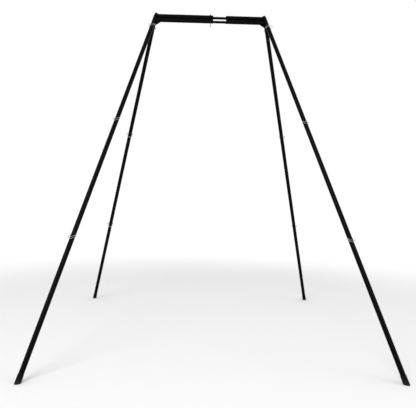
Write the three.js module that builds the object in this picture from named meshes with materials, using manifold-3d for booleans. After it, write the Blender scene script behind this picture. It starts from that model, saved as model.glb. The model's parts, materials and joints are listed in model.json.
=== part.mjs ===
// A free-standing aerial rig. Four splayed legs, each of three tubes plugged into one another,
// carry a crossbar of two stacked tubes in two halves. A pair of coupler bars joins the halves,
// an eye bolt through its middle takes the load, and wire lock pins hold the legs' joints.
// Millimetres. +X runs along the crossbar, +Y to the back and +Z up. The origin is on the floor,
// midway between the four feet.

import * as THREE from 'three';
import { mergeVertices } from 'three/addons/utils/BufferGeometryUtils.js';
import Module from 'manifold-3d';

const wasm = await Module();
wasm.setup();

// Stance
const FOOT_SPAN_X = 3556; // between the left and right feet's centres on the floor
const FOOT_SPAN_Y = 3556; // between the front and back feet's centres on the floor
const APEX_SPAN = 1430; // between the two points where a side's two leg axes meet
const BEAM_HEIGHT = 4023; // the crossbar's centre line above the floor
const APEX_RISE = 8; // the leg axes meet this far above the crossbar's centre line

// Tubes
const TUBE_OD = 50.8; // every leg tube and crossbar tube
const TUBE_WALL = 3;
const TUBE_SIDES = 16;
const TOUCH_GAP = 0.3; // between faces that touch on the real rig
const OVERRUN = 10; // how far a cutting shape runs past what it cuts
const MITRE_LAP = 0.02; // how far mitred halves run into each other, so that they join

// Legs, along the leg's axis from the point where the axes meet
const STUB_LENGTH = 98; // to the yoke stub's mouth
const SECTION_LENGTH = 1476; // of the upper and the middle tube
const SPIGOT_REACH = 100; // on each side of a joint line
const SPIGOT_WALL = 3;
const SPIGOT_FIT = 0.4; // radial clearance in the tube
const WELD_DEPTH = 12; // of the ring that holds the yoke's own spigot in its stub
const RIVET_INSET = 45; // above a joint line
const RIVET_RADIUS = 3;
const RIVET_HEAD_RADIUS = 6;
const RIVET_HEAD_HEIGHT = 1.8;
const RIVET_SIDES = 8;

// Rubber feet
const FOOT_WALL = 3.2;
const FOOT_GRIP = 60; // how far up the tube a foot reaches
const FOOT_SOLE = 7; // rubber under the tube's lowest edge

// Wire lock pins, one at each joint of each leg
const PIN_INSET = 30; // below a joint line
const PIN_RADIUS = 4.75;
const PIN_FIT = 0.3; // radial clearance in every hole
const PIN_TIP = 20; // how far the tip stands out of the tube
const PIN_POINT = 3; // length of the tip's bevel
const PIN_SIDES = 8;
const HEAD_RADIUS = 7;
const HEAD_LENGTH = 12;
const HEAD_GAP = 1; // between the head and the tube
const HEAD_SIDES = 12;
const PIVOT_OFFSET = 8; // from the tube to the loop's pivot in the head

// Wire loops
const WIRE_RADIUS = 1.5;
const WIRE_SIDES = 5;
const LOOP_CLEARANCE = 30; // from the tube to the top of the arch
const LOOP_HALF_WIDTH = 9; // from the loop's middle plane to either wire
const LOOP_REACH = 5; // from the pin's tip to the closed end
const LOOP_AXLE_DEPTH = 4; // how far a wire's end reaches into the head
const LOOP_CORNER = 3; // radius where a wire's end turns up into the arch
const AXLE_FIT = 0.4; // radial clearance round the wire in the head
const ARCH_STEPS = 8;
const TURN_STEPS = 6;
const CORNER_STEPS = 2;

// Yokes
const PLATE_THICKNESS = 6;
const PLATE_PROUD = 2; // how far the end plate stands out of the stubs' inner side
const PLATE_MARGIN = 2; // end plate beyond the crossbar's tubes, all round
const WEB_MARGIN = 5; // from the web plate's lower edge to the stubs' mouths
const WEB_TOP = 50; // from where the axes meet to the web plate's hidden upper edge
const GUSSET_REACH = 74; // inwards from where the axes meet
const GUSSET_DROP = 45; // below the crossbar

// Coupler bars, along X from the middle of the crossbar
const BAR_OD = 31.75;
const BAR_WALL = 4;
const LEFT_HALF_END = 36;
const RIGHT_HALF_END = 203;
const BAR_GRIP_LEFT = 400; // how far the bars reach into the left half
const BAR_GRIP_RIGHT = 330; // how far they reach into the right half
const BAR_RIVET_INSET = 50; // from the right half's end

// Hanging eye bolt
const BOLT_RADIUS = 6;
const BOLT_SIDES = 12;
const BOLT_FIT = 0.4; // radial clearance in every hole
const BOLT_STAND = 4; // threaded end above the nut
const EYE_RADIUS = 18; // to the middle of the ring
const EYE_RING_RADIUS = 5.5;
const EYE_RING_SIDES = 8;
const EYE_RING_STEPS = 20;
const COLLAR_RADIUS = 11;
const COLLAR_HEIGHT = 6;
const NUT_RADIUS = 11; // to the corners
const NUT_HEIGHT = 10;
const NUT_SIDES = 6;
const WASHER_RADIUS = 12.5;
const WASHER_THICKNESS = 2.5;

// Each leg's side of the rig, the way that its lower loops face, -1 front and 1 back, and the
// tilt of its three loops down the leg in degrees, from the top
const LEGS = [
  { name: 'front_left', sideX: -1, sideY: -1, facing: -1, loopTilts: [44, 49, 46] },
  { name: 'front_right', sideX: 1, sideY: -1, facing: -1, loopTilts: [12, 38, 47] },
  { name: 'back_left', sideX: -1, sideY: 1, facing: -1, loopTilts: [42, 40, 46] },
  { name: 'back_right', sideX: 1, sideY: 1, facing: 1, loopTilts: [36, 24, 41] },
];

// Sizes that follow
const TUBE_RADIUS = TUBE_OD / 2;
const BORE_RADIUS = TUBE_RADIUS - TUBE_WALL;
const SPIGOT_RADIUS = BORE_RADIUS - SPIGOT_FIT;
const SPIGOT_BORE = SPIGOT_RADIUS - SPIGOT_WALL;
const BEAM_PITCH = TUBE_OD + TOUCH_GAP;
const BEAM_HALF_HEIGHT = BEAM_PITCH / 2 + TUBE_RADIUS;
const APEX_HEIGHT = BEAM_HEIGHT + APEX_RISE;
const FIRST_JOINT = STUB_LENGTH;
const SECOND_JOINT = FIRST_JOINT + SECTION_LENGTH;
const THIRD_JOINT = SECOND_JOINT + SECTION_LENGTH;
const JOINTS = [FIRST_JOINT, SECOND_JOINT, THIRD_JOINT];
const BAR_RADIUS = BAR_OD / 2;
const BAR_DROP = BORE_RADIUS - TOUCH_GAP - BAR_RADIUS; // the bars lie on the bores' floors
const BAR_RIVET_X = RIGHT_HALF_END + BAR_RIVET_INSET;
const LOOP_HEIGHT = TUBE_RADIUS + LOOP_CLEARANCE; // over the pin's axis
const LOOP_SPAN = PIVOT_OFFSET + TUBE_OD + PIN_TIP + LOOP_REACH; // from the pivot to the closed end

// The run of a leg's axis on each side, from where the axes meet to the floor
const RUN_X = (FOOT_SPAN_X - APEX_SPAN) / 2;
const RUN_Y = FOOT_SPAN_Y / 2;
const LEG_LENGTH = Math.hypot(RUN_X, RUN_Y, APEX_HEIGHT);
const LEAN_LENGTH = Math.hypot(RUN_X, APEX_HEIGHT);
const LEAN_OUT = RUN_X / LEAN_LENGTH; // of the plane that holds a side's two leg axes
const LEAN_DOWN = APEX_HEIGHT / LEAN_LENGTH;
const SPLAY = RUN_Y / LEAN_LENGTH; // tangent of a leg's angle in that plane
const LEG_UPRIGHT = APEX_HEIGHT / LEG_LENGTH; // cosine of a leg's angle to the vertical
const LEG_SLANT = Math.hypot(RUN_X, RUN_Y) / LEG_LENGTH;
const PIN_TURN = Math.atan2(RUN_X * APEX_HEIGHT, RUN_Y * LEG_LENGTH); // lays the pins level
const TUBE_END = LEG_LENGTH - (FOOT_SOLE + TUBE_RADIUS * LEG_SLANT) / LEG_UPRIGHT;
const WEB_BOTTOM = STUB_LENGTH * (LEAN_LENGTH / LEG_LENGTH) - WEB_MARGIN;

// Heights over the crossbar's centre line
const WASHER_SEAT = BEAM_HALF_HEIGHT + TOUCH_GAP;
const NUT_SEAT = WASHER_SEAT + WASHER_THICKNESS + TOUCH_GAP;
const NUT_TOP = NUT_SEAT + NUT_HEIGHT;

const blackPowderCoat = new THREE.MeshStandardMaterial({
  color: 0x111112,
  roughness: 0.5,
  metalness: 0.3,
});
const zincPlate = new THREE.MeshStandardMaterial({
  color: 0xb9bcbe,
  roughness: 0.35,
  metalness: 0.9,
});
const blackRubber = new THREE.MeshStandardMaterial({
  color: 0x0b0b0b,
  roughness: 0.9,
  metalness: 0,
});

// Joining and cutting

function toSolid(geometry) {
  const bare = geometry.index ? geometry.toNonIndexed() : geometry.clone();
  bare.deleteAttribute('normal');
  bare.deleteAttribute('uv');
  const merged = mergeVertices(bare, 1e-4);
  return new wasm.Manifold(new wasm.Mesh({
    numProp: 3,
    vertProperties: new Float32Array(merged.attributes.position.array),
    triVerts: new Uint32Array(merged.index.array),
  }));
}

function toMesh(solid, name, material) {
  const data = solid.getMesh();
  const geometry = new THREE.BufferGeometry();
  geometry.setAttribute('position', new THREE.BufferAttribute(data.vertProperties, data.numProp));
  geometry.setIndex(new THREE.BufferAttribute(data.triVerts, 1));
  geometry.computeVertexNormals();
  const mesh = new THREE.Mesh(geometry, material);
  mesh.name = name;
  return mesh;
}

function joined(first, ...rest) {
  return rest.reduce((whole, piece) => whole.add(piece), first);
}

function cut(first, ...rest) {
  return rest.reduce((whole, piece) => whole.subtract(piece), first);
}

// Shapes along an axis, from one place on it to another

const TURN_TO = {
  x: new THREE.Matrix4().makeRotationZ(-Math.PI / 2),
  y: new THREE.Matrix4(),
  z: new THREE.Matrix4().makeRotationX(Math.PI / 2),
};

const UNIT = {
  x: new THREE.Vector3(1, 0, 0),
  y: new THREE.Vector3(0, 1, 0),
  z: new THREE.Vector3(0, 0, 1),
};

function rodGeometry(axis, radius, from, to, sides, endRadius = radius) {
  const geometry = new THREE.CylinderGeometry(endRadius, radius, to - from, sides);
  geometry.applyMatrix4(TURN_TO[axis]);
  const middle = UNIT[axis].clone().multiplyScalar((from + to) / 2);
  return geometry.translate(middle.x, middle.y, middle.z);
}

function rod(axis, radius, from, to, sides, endRadius = radius) {
  return toSolid(rodGeometry(axis, radius, from, to, sides, endRadius));
}

function pipe(axis, radius, bore, from, to, sides) {
  const core = rod(axis, bore, from - OVERRUN, to + OVERRUN, sides);
  return rod(axis, radius, from, to, sides).subtract(core);
}

// A flat plate whose outline lies in the plane of two given directions
function plate(outline, thickness, right, up, place = new THREE.Vector3()) {
  const shape = new THREE.Shape(outline.map(([u, v]) => new THREE.Vector2(u, v)));
  const geometry = new THREE.ExtrudeGeometry(shape, { depth: thickness, bevelEnabled: false });
  geometry.translate(0, 0, -thickness / 2);
  const out = new THREE.Vector3().crossVectors(right, up);
  const turn = new THREE.Matrix4().makeBasis(right, up, out).setPosition(place);
  return toSolid(geometry.applyMatrix4(turn));
}

// A path that goes straight from each of its points to the next
class PointPath extends THREE.Curve {
  constructor(points) {
    super();
    this.points = points;
  }

  getPoint(t, target = new THREE.Vector3()) {
    const last = this.points.length - 1;
    const index = Math.min(Math.floor(t * last + 1e-9), last - 1);
    return target.lerpVectors(this.points[index], this.points[index + 1], t * last - index);
  }

  getPointAt(u, target) {
    return this.getPoint(u, target);
  }

  getTangentAt(u, target = new THREE.Vector3()) {
    const last = this.points.length - 1;
    const index = Math.round(u * last);
    const before = this.points[Math.max(index - 1, 0)];
    const after = this.points[Math.min(index + 1, last)];
    return target.subVectors(after, before).normalize();
  }
}

function wire(points, radius, sides) {
  const section = new THREE.Shape();
  for (let side = 0; side < sides; side += 1) {
    const angle = (2 * Math.PI * side) / sides;
    const corner = [radius * Math.cos(angle), radius * Math.sin(angle)];
    if (side === 0) section.moveTo(...corner);
    else section.lineTo(...corner);
  }
  section.closePath();
  const route = new PointPath(points);
  const options = { steps: points.length - 1, extrudePath: route, bevelEnabled: false };
  return toSolid(new THREE.ExtrudeGeometry(section, options));
}

// The leg's frame: its origin is where the axes meet, +Z runs down the leg and +X points out
function legMatrix(sideX, sideY) {
  const down = new THREE.Vector3(sideX * RUN_X, sideY * RUN_Y, -APEX_HEIGHT).normalize();
  const across = new THREE.Vector3(sideX, 0, 0);
  across.addScaledVector(down, -across.dot(down)).normalize();
  const forward = new THREE.Vector3().crossVectors(down, across);
  return new THREE.Matrix4().makeBasis(across, forward, down);
}

function inLegFrame(solid, sideX, sideY) {
  return solid.transform(legMatrix(sideX, sideY).toArray());
}

function apex(sideX) {
  return new THREE.Vector3(sideX * APEX_SPAN / 2, 0, APEX_HEIGHT);
}

// The angle about a leg's axis that turns its pins from straight out to level
function pinTurn(sideX, sideY) {
  return sideX * sideY * PIN_TURN;
}

// A hole whose flats keep the pin's clearance, however the pin is turned in it
function pinHole(place, turn) {
  const reach = TUBE_RADIUS + OVERRUN;
  const radius = (PIN_RADIUS + PIN_FIT) / Math.cos(Math.PI / PIN_SIDES);
  const geometry = rodGeometry('x', radius, -reach, reach, PIN_SIDES);
  return toSolid(geometry.rotateZ(turn).translate(0, 0, place));
}

function rivetHole() {
  const reach = TUBE_RADIUS + OVERRUN;
  return rod('y', RIVET_RADIUS + PIN_FIT, -reach, reach, RIVET_SIDES);
}

// A rivet across a tube, with a flat round head on each side
function rivet() {
  const seat = TUBE_RADIUS + TOUCH_GAP;
  const top = seat + RIVET_HEAD_HEIGHT;
  return joined(
    rod('y', RIVET_RADIUS, -seat - RIVET_HEAD_HEIGHT / 2, seat + RIVET_HEAD_HEIGHT / 2, RIVET_SIDES),
    rod('y', RIVET_HEAD_RADIUS, seat, top, RIVET_SIDES),
    rod('y', RIVET_HEAD_RADIUS, -top, -seat, RIVET_SIDES),
  );
}

// One leg tube between two places on the leg's axis
function legTube(from, to, hasSpigotBelow, turn) {
  const tube = pipe('z', TUBE_RADIUS, BORE_RADIUS, from, to, TUBE_SIDES);
  const pinned = cut(tube, pinHole(from - TOUCH_GAP + PIN_INSET, turn));
  if (!hasSpigotBelow) return pinned;
  return cut(pinned, rivetHole().translate(0, 0, to - RIVET_INSET));
}

// An inner sleeve, riveted into the tube above a joint line and pinned in the tube below it
function spigot(joint, turn) {
  const from = joint - SPIGOT_REACH;
  const to = joint + SPIGOT_REACH;
  const sleeve = pipe('z', SPIGOT_RADIUS, SPIGOT_BORE, from, to, TUBE_SIDES);
  const riveted = joined(sleeve, rivet().translate(0, 0, joint - RIVET_INSET));
  return cut(riveted, pinHole(joint + PIN_INSET, turn));
}

// A rubber cap whose sole is cut level with the floor
function foot(sideX, sideY) {
  const top = TUBE_END - FOOT_GRIP;
  const cap = rod('z', TUBE_RADIUS + FOOT_WALL, top, LEG_LENGTH + TUBE_OD, TUBE_SIDES);
  const pocket = rod('z', TUBE_RADIUS + TOUCH_GAP, top - OVERRUN, TUBE_END + TOUCH_GAP, TUBE_SIDES);
  const below = new THREE.BoxGeometry(TUBE_OD * 4, TUBE_OD * 4, TUBE_OD * 4);
  below.translate(sideX * RUN_X, sideY * RUN_Y, -APEX_HEIGHT - TUBE_OD * 2);
  below.applyMatrix4(legMatrix(sideX, sideY).invert());
  return cut(cap, pocket, toSolid(below));
}

// A pin along +X through the tube's axis at the origin, its loop on the +Y side
function lockPin() {
  const headFace = -TUBE_RADIUS - HEAD_GAP;
  const tip = TUBE_RADIUS + PIN_TIP;
  const reach = HEAD_RADIUS + OVERRUN;
  const axleHole = rod('z', WIRE_RADIUS + AXLE_FIT, -reach, reach, PIN_SIDES);
  const head = rod('x', HEAD_RADIUS, headFace - HEAD_LENGTH, headFace, HEAD_SIDES);
  return joined(
    cut(head, axleHole.translate(-TUBE_RADIUS - PIVOT_OFFSET, 0, 0)),
    rod('x', PIN_RADIUS, headFace - HEAD_GAP, tip - PIN_POINT, PIN_SIDES),
    rod('x', PIN_RADIUS, tip - PIN_POINT, tip, PIN_SIDES, PIN_RADIUS / 2),
  );
}

// A wire loop, its pivot at the origin and its closed end out along +X
function wireLoop() {
  const inner = HEAD_RADIUS - LOOP_AXLE_DEPTH;
  const half = [new THREE.Vector3(0, 0, -inner)];
  for (let step = 0; step <= CORNER_STEPS; step += 1) {
    const angle = (Math.PI / 2) * (step / CORNER_STEPS);
    const out = LOOP_HALF_WIDTH - LOOP_CORNER + LOOP_CORNER * Math.sin(angle);
    half.push(new THREE.Vector3(0, LOOP_CORNER * (1 - Math.cos(angle)), -out));
  }
  for (let step = 1; step <= ARCH_STEPS; step += 1) {
    const share = step / ARCH_STEPS;
    const along = (LOOP_SPAN / 2) * (1 - Math.cos(Math.PI * share));
    const arch = (LOOP_HEIGHT - LOOP_CORNER / 2) * Math.sin(Math.PI * share);
    half.push(new THREE.Vector3(along, LOOP_CORNER * (1 - share) + arch, -LOOP_HALF_WIDTH));
  }
  const turn = [];
  for (let step = 1; step < TURN_STEPS; step += 1) {
    const angle = Math.PI * (step / TURN_STEPS);
    const dip = -LOOP_HALF_WIDTH * Math.sin(angle);
    turn.push(new THREE.Vector3(LOOP_SPAN, dip, -LOOP_HALF_WIDTH * Math.cos(angle)));
  }
  const otherHalf = half.map((point) => new THREE.Vector3(point.x, point.y, -point.z)).reverse();
  return wire([...half, ...turn, ...otherHalf], WIRE_RADIUS, WIRE_SIDES);
}

// The level pin and its loop, turned about the pin so that the loop faces its way and tilts down
function pinGroup(leg, index) {
  const facing = index === 0 ? leg.sideY : leg.facing;
  const towards = -leg.sideX * facing;
  const tilt = THREE.MathUtils.degToRad(leg.loopTilts[index]);
  const group = new THREE.Group();
  group.position.z = JOINTS[index] + PIN_INSET;
  const turn = pinTurn(leg.sideX, leg.sideY);
  group.rotation.set(towards > 0 ? tilt : Math.PI - tilt, 0, turn, 'ZYX');
  const place = ['hub', 'upper', 'lower'][index];
  const pin = toMesh(lockPin(), `${place}_lock_pin_${leg.name}`, zincPlate);
  const loop = toMesh(wireLoop(), `${place}_wire_loop_${leg.name}`, zincPlate);
  loop.position.x = -TUBE_RADIUS - PIVOT_OFFSET;
  group.add(pin, loop);
  return group;
}

function legGroup(leg) {
  const group = new THREE.Group();
  const place = legMatrix(leg.sideX, leg.sideY).setPosition(apex(leg.sideX));
  place.decompose(group.position, group.quaternion, group.scale);
  const turn = pinTurn(leg.sideX, leg.sideY);
  const tubes = [
    ['upper', FIRST_JOINT + TOUCH_GAP, SECOND_JOINT, true],
    ['middle', SECOND_JOINT + TOUCH_GAP, THIRD_JOINT, true],
    ['lower', THIRD_JOINT + TOUCH_GAP, TUBE_END, false],
  ];
  for (const [level, from, to, hasSpigotBelow] of tubes) {
    const tube = legTube(from, to, hasSpigotBelow, turn);
    group.add(toMesh(tube, `${level}_leg_tube_${leg.name}`, blackPowderCoat));
  }
  const upperSpigot = spigot(SECOND_JOINT, turn);
  const lowerSpigot = spigot(THIRD_JOINT, turn);
  group.add(toMesh(upperSpigot, `upper_spigot_${leg.name}`, blackPowderCoat));
  group.add(toMesh(lowerSpigot, `lower_spigot_${leg.name}`, blackPowderCoat));
  group.add(toMesh(foot(leg.sideX, leg.sideY), `rubber_foot_${leg.name}`, blackRubber));
  JOINTS.forEach((joint, index) => group.add(pinGroup(leg, index)));
  return group;
}

// Directions of the plane that holds a side's two leg axes: down it, and square to it inwards
function leanDown(sideX) {
  return new THREE.Vector3(sideX * LEAN_OUT, 0, -LEAN_DOWN);
}

function leanInwards(sideX) {
  return new THREE.Vector3(-sideX * LEAN_DOWN, 0, -LEAN_OUT);
}

// One stub's solid rod, mitred at the middle plane against the other stub
function stubRod(sideX, sideY, radius, to) {
  const reach = TUBE_OD * 2;
  const whole = inLegFrame(rod('z', radius, -reach, to, TUBE_SIDES), sideX, sideY);
  const keep = new THREE.BoxGeometry(reach * 4, reach * 2, reach * 6);
  return whole.intersect(toSolid(keep.translate(0, sideY * (reach - MITRE_LAP), 0)));
}

// The flat plate that closes a crossbar half and joins it to both stubs
function endPlate(sideX) {
  const away = TUBE_RADIUS + PLATE_PROUD - PLATE_THICKNESS / 2;
  const halfWidth = TUBE_RADIUS + PLATE_MARGIN;
  const along = (z) => (-z - LEAN_OUT * away) / LEAN_DOWN;
  const top = along(-APEX_RISE + BEAM_HALF_HEIGHT + PLATE_MARGIN);
  const bottom = along(-APEX_RISE - BEAM_HALF_HEIGHT - PLATE_MARGIN);
  const outline = [
    [-halfWidth, top],
    [halfWidth, top],
    [halfWidth, bottom],
    [-halfWidth, bottom],
  ];
  const place = leanInwards(sideX).multiplyScalar(away);
  return plate(outline, PLATE_THICKNESS, UNIT.y, leanDown(sideX), place);
}

// The plate between the two stubs, in the plane of their axes
function webPlate(sideX) {
  const outline = [
    [-WEB_TOP * SPLAY, WEB_TOP],
    [WEB_TOP * SPLAY, WEB_TOP],
    [WEB_BOTTOM * SPLAY, WEB_BOTTOM],
    [-WEB_BOTTOM * SPLAY, WEB_BOTTOM],
  ];
  return plate(outline, PLATE_THICKNESS, UNIT.y, leanDown(sideX));
}

// The upright plate in the corner under the crossbar
function gusset(sideX) {
  const top = -APEX_RISE - BEAM_HALF_HEIGHT - TOUCH_GAP;
  const outline = [
    [-sideX * GUSSET_REACH, top],
    [0, top - GUSSET_DROP],
    [sideX * WEB_BOTTOM * LEAN_OUT, -WEB_BOTTOM * LEAN_DOWN],
    [sideX * -top * LEAN_OUT / LEAN_DOWN, top],
  ];
  return plate(outline, PLATE_THICKNESS, UNIT.x, UNIT.z);
}

// The yoke's own spigot and the weld ring that holds it in a stub's mouth
function yokeSpigot(turn) {
  const top = STUB_LENGTH - WELD_DEPTH;
  const bottom = STUB_LENGTH + SPIGOT_REACH;
  const sleeve = pipe('z', SPIGOT_RADIUS, SPIGOT_BORE, top, bottom, TUBE_SIDES);
  const middleOfWall = (TUBE_RADIUS + BORE_RADIUS) / 2;
  const weld = pipe('z', middleOfWall, SPIGOT_BORE, top, STUB_LENGTH, TUBE_SIDES);
  return cut(joined(sleeve, weld), pinHole(STUB_LENGTH + PIN_INSET, turn));
}

function yoke(sideX) {
  const sides = [-1, 1];
  const stubs = sides.map((sideY) => stubRod(sideX, sideY, TUBE_RADIUS, STUB_LENGTH));
  const bores = sides.map((sideY) => stubRod(sideX, sideY, BORE_RADIUS, STUB_LENGTH + OVERRUN));
  const body = cut(joined(...stubs, endPlate(sideX), webPlate(sideX), gusset(sideX)), ...bores);
  const spigots = sides.map((sideY) => {
    return inLegFrame(yokeSpigot(pinTurn(sideX, sideY)), sideX, sideY);
  });
  return joined(body, ...spigots);
}

// What lies outside the end plate's inner face, in the frame where the axes meet
function beyondEndPlate(sideX) {
  const size = TUBE_OD * 8;
  const away = TUBE_RADIUS + PLATE_PROUD + TOUCH_GAP;
  const outline = [[-size, -size], [size, -size], [size, size], [-size, size]];
  const place = leanInwards(sideX).multiplyScalar(away - size / 2);
  return plate(outline, size, UNIT.y, leanDown(sideX), place);
}

// One tube of a crossbar half, in the frame of the crossbar's middle. level is 1 for the upper one
function beamTube(sideX, level) {
  const z = level * BEAM_PITCH / 2;
  const inner = sideX < 0 ? -LEFT_HALF_END : RIGHT_HALF_END;
  const ends = [sideX * inner, sideX * APEX_SPAN / 2].sort((a, b) => a - b);
  const tube = pipe('x', TUBE_RADIUS, BORE_RADIUS, ...ends, TUBE_SIDES).translate(0, 0, z);
  const outside = beyondEndPlate(sideX).translate(sideX * APEX_SPAN / 2, 0, APEX_RISE);
  const trimmed = cut(tube, outside);
  if (sideX < 0) return cut(trimmed, boltHole());
  return cut(trimmed, rivetHole().translate(BAR_RIVET_X, 0, z - BAR_DROP));
}

function boltHole() {
  return rod('z', BOLT_RADIUS + BOLT_FIT, -BEAM_PITCH * 2, BEAM_PITCH * 2, BOLT_SIDES);
}

function couplerBar(level) {
  const z = level * BEAM_PITCH / 2 - BAR_DROP;
  const from = LEFT_HALF_END - BAR_GRIP_LEFT;
  const to = RIGHT_HALF_END + BAR_GRIP_RIGHT;
  const bar = pipe('x', BAR_RADIUS, BAR_RADIUS - BAR_WALL, from, to, TUBE_SIDES).translate(0, 0, z);
  const riveted = joined(bar, rivet().translate(BAR_RIVET_X, 0, z));
  return cut(riveted, boltHole());
}

function eyeBolt() {
  const shoulder = -BEAM_HALF_HEIGHT - TOUCH_GAP;
  const eyeMiddle = shoulder - COLLAR_HEIGHT - EYE_RADIUS;
  const ring = new THREE.TorusGeometry(EYE_RADIUS, EYE_RING_RADIUS, EYE_RING_SIDES, EYE_RING_STEPS);
  ring.rotateY(Math.PI / 2).translate(0, 0, eyeMiddle);
  return joined(
    rod('z', BOLT_RADIUS, shoulder - COLLAR_HEIGHT / 2, NUT_TOP + BOLT_STAND, BOLT_SIDES),
    rod('z', COLLAR_RADIUS, shoulder - COLLAR_HEIGHT, shoulder, BOLT_SIDES),
    toSolid(ring),
  );
}

function washer() {
  const top = WASHER_SEAT + WASHER_THICKNESS;
  return pipe('z', WASHER_RADIUS, BOLT_RADIUS + BOLT_FIT, WASHER_SEAT, top, BOLT_SIDES);
}

function nut() {
  const thread = rod('z', BOLT_RADIUS + TOUCH_GAP, NUT_SEAT - OVERRUN, NUT_TOP + OVERRUN, BOLT_SIDES);
  return cut(rod('z', NUT_RADIUS, NUT_SEAT, NUT_TOP, NUT_SIDES), thread);
}

function crossbarGroup() {
  const group = new THREE.Group();
  group.position.z = BEAM_HEIGHT;
  for (const [side, sideX] of [['left', -1], ['right', 1]]) {
    group.add(toMesh(beamTube(sideX, 1), `${side}_crossbar_upper_tube`, blackPowderCoat));
    group.add(toMesh(beamTube(sideX, -1), `${side}_crossbar_lower_tube`, blackPowderCoat));
    const hub = toMesh(yoke(sideX), `${side}_yoke`, blackPowderCoat);
    hub.position.set(sideX * APEX_SPAN / 2, 0, APEX_RISE);
    group.add(hub);
  }
  group.add(toMesh(couplerBar(1), 'upper_coupler_bar', blackPowderCoat));
  group.add(toMesh(couplerBar(-1), 'lower_coupler_bar', blackPowderCoat));
  group.add(toMesh(eyeBolt(), 'hanging_eye_bolt', zincPlate));
  group.add(toMesh(washer(), 'eye_bolt_washer', zincPlate));
  group.add(toMesh(nut(), 'eye_bolt_nut', zincPlate));
  return group;
}

const rig = new THREE.Group();
rig.add(crossbarGroup(), ...LEGS.map(legGroup));

export default rig;
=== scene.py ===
import json
import math

import bmesh
import bpy
from mathutils import Matrix, Vector


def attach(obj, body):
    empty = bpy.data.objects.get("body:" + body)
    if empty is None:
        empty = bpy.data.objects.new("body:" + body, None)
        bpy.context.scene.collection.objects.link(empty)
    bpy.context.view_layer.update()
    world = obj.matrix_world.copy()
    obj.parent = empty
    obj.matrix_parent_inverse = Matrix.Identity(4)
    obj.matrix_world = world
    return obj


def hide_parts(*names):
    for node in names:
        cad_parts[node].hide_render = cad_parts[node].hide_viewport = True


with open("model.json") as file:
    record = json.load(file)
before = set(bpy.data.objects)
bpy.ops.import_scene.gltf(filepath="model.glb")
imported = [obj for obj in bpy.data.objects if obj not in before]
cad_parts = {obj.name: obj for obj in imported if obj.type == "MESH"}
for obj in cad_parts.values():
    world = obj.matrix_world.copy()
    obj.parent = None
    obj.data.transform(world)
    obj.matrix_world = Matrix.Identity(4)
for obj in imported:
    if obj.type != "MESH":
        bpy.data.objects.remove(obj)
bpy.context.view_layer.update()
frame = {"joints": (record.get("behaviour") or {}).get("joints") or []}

# The looks of a free-standing aerial rig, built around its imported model. Metres, in the model's own
# frame: +X runs along the crossbar, +Y to the back and +Z up from the floor. A name that ends in
# share or shares holds parts of another size.

# Tubes
TUBE_RADIUS = 0.0254
TUBE_WALL = 0.003
BORE_RADIUS = TUBE_RADIUS - TUBE_WALL
TOUCH_GAP = 0.0003
END_ROUND = 0.0007
ROUND_SIDES = 64

# Small round pieces, cutters and blanks
SMALL_SIDES = 48
OVERRUN = 0.010
BLANK_OVERRUN = 4 * TUBE_RADIUS
ON_AXIS = 1e-7
MERGE_DISTANCE = 1e-6

# Legs, along the leg's axis from the point where a side's two axes meet
STUB_LENGTH = 0.098
SECTION_LENGTH = 1.476
SPIGOT_REACH = 0.100
SPIGOT_WALL = 0.003
SPIGOT_FIT = 0.0004
SPIGOT_RADIUS = BORE_RADIUS - SPIGOT_FIT
SPIGOT_BORE = SPIGOT_RADIUS - SPIGOT_WALL
SPIGOT_LEAD = 0.003
WELD_DEPTH = 0.012
FIRST_JOINT = STUB_LENGTH
SECOND_JOINT = FIRST_JOINT + SECTION_LENGTH
THIRD_JOINT = SECOND_JOINT + SECTION_LENGTH

# Rivets. The dome's points are shares of the head's radius and of the dome's height.
RIVET_INSET = 0.045
RIVET_RADIUS = 0.003
RIVET_HEAD_RADIUS = 0.006
RIVET_HEAD_HEIGHT = 0.0018
RIVET_STEM_RADIUS = 0.0015
RIVET_DOME_SHARE = 0.55
RIVET_DOME_SHARES = ((0.5, 0.12), (0.8, 0.5), (1.0, 1.2))
RIVET_SIDES = 32

# Rubber feet
FOOT_WALL = 0.0030
FOOT_RADIUS = TUBE_RADIUS + FOOT_WALL
FOOT_GRIP = 0.060
FOOT_SOLE = 0.007
FOOT_ROUND = 0.0014
FOOT_LIP_ROUND = 0.0006
FOOT_POCKET_ROUND = 0.0008
FOOT_RIBS = 4
FOOT_RIB_PITCH = 0.008
FOOT_RIB_DEPTH = 0.0008
FOOT_RIB_ROUND = 0.0004
FOOT_GROOVE_WIDTH = FOOT_RIB_PITCH / 3
TREAD_RADII = (0.008, 0.016)
TREAD_WIDTH = 0.0022
TREAD_DEPTH = 0.0016

# Wire lock pins
PIN_INSET = 0.030
PIN_RADIUS = 0.00475
PIN_FIT = 0.0003
PIN_TIP = 0.020
PIN_POINT = 0.003
PIN_HOLE_SIDES = 40
HEAD_RADIUS = 0.007
HEAD_LENGTH = 0.012
HEAD_GAP = 0.001
HEAD_ROUND = 0.0009
HEAD_RING_HEIGHT = 0.0002
HEAD_RING_SHARES = (0.35, 0.45)
PIVOT_OFFSET = 0.008
AXLE_RADIUS = 0.0019
AXLE_SIDES = 28

# Their wire loops
WIRE_RADIUS = 0.0015
WIRE_SIDES = 14
LOOP_CLEARANCE = 0.030
LOOP_HEIGHT = TUBE_RADIUS + LOOP_CLEARANCE
LOOP_HALF_WIDTH = 0.009
LOOP_REACH = 0.005
LOOP_SPAN = PIVOT_OFFSET + 2 * TUBE_RADIUS + PIN_TIP + LOOP_REACH
LOOP_AXLE_DEPTH = 0.004
LOOP_CORNER = 0.003
LOOP_CORNER_STEPS = 8
LOOP_ARCH_STEPS = 48
LOOP_TURN_STEPS = 20

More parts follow.
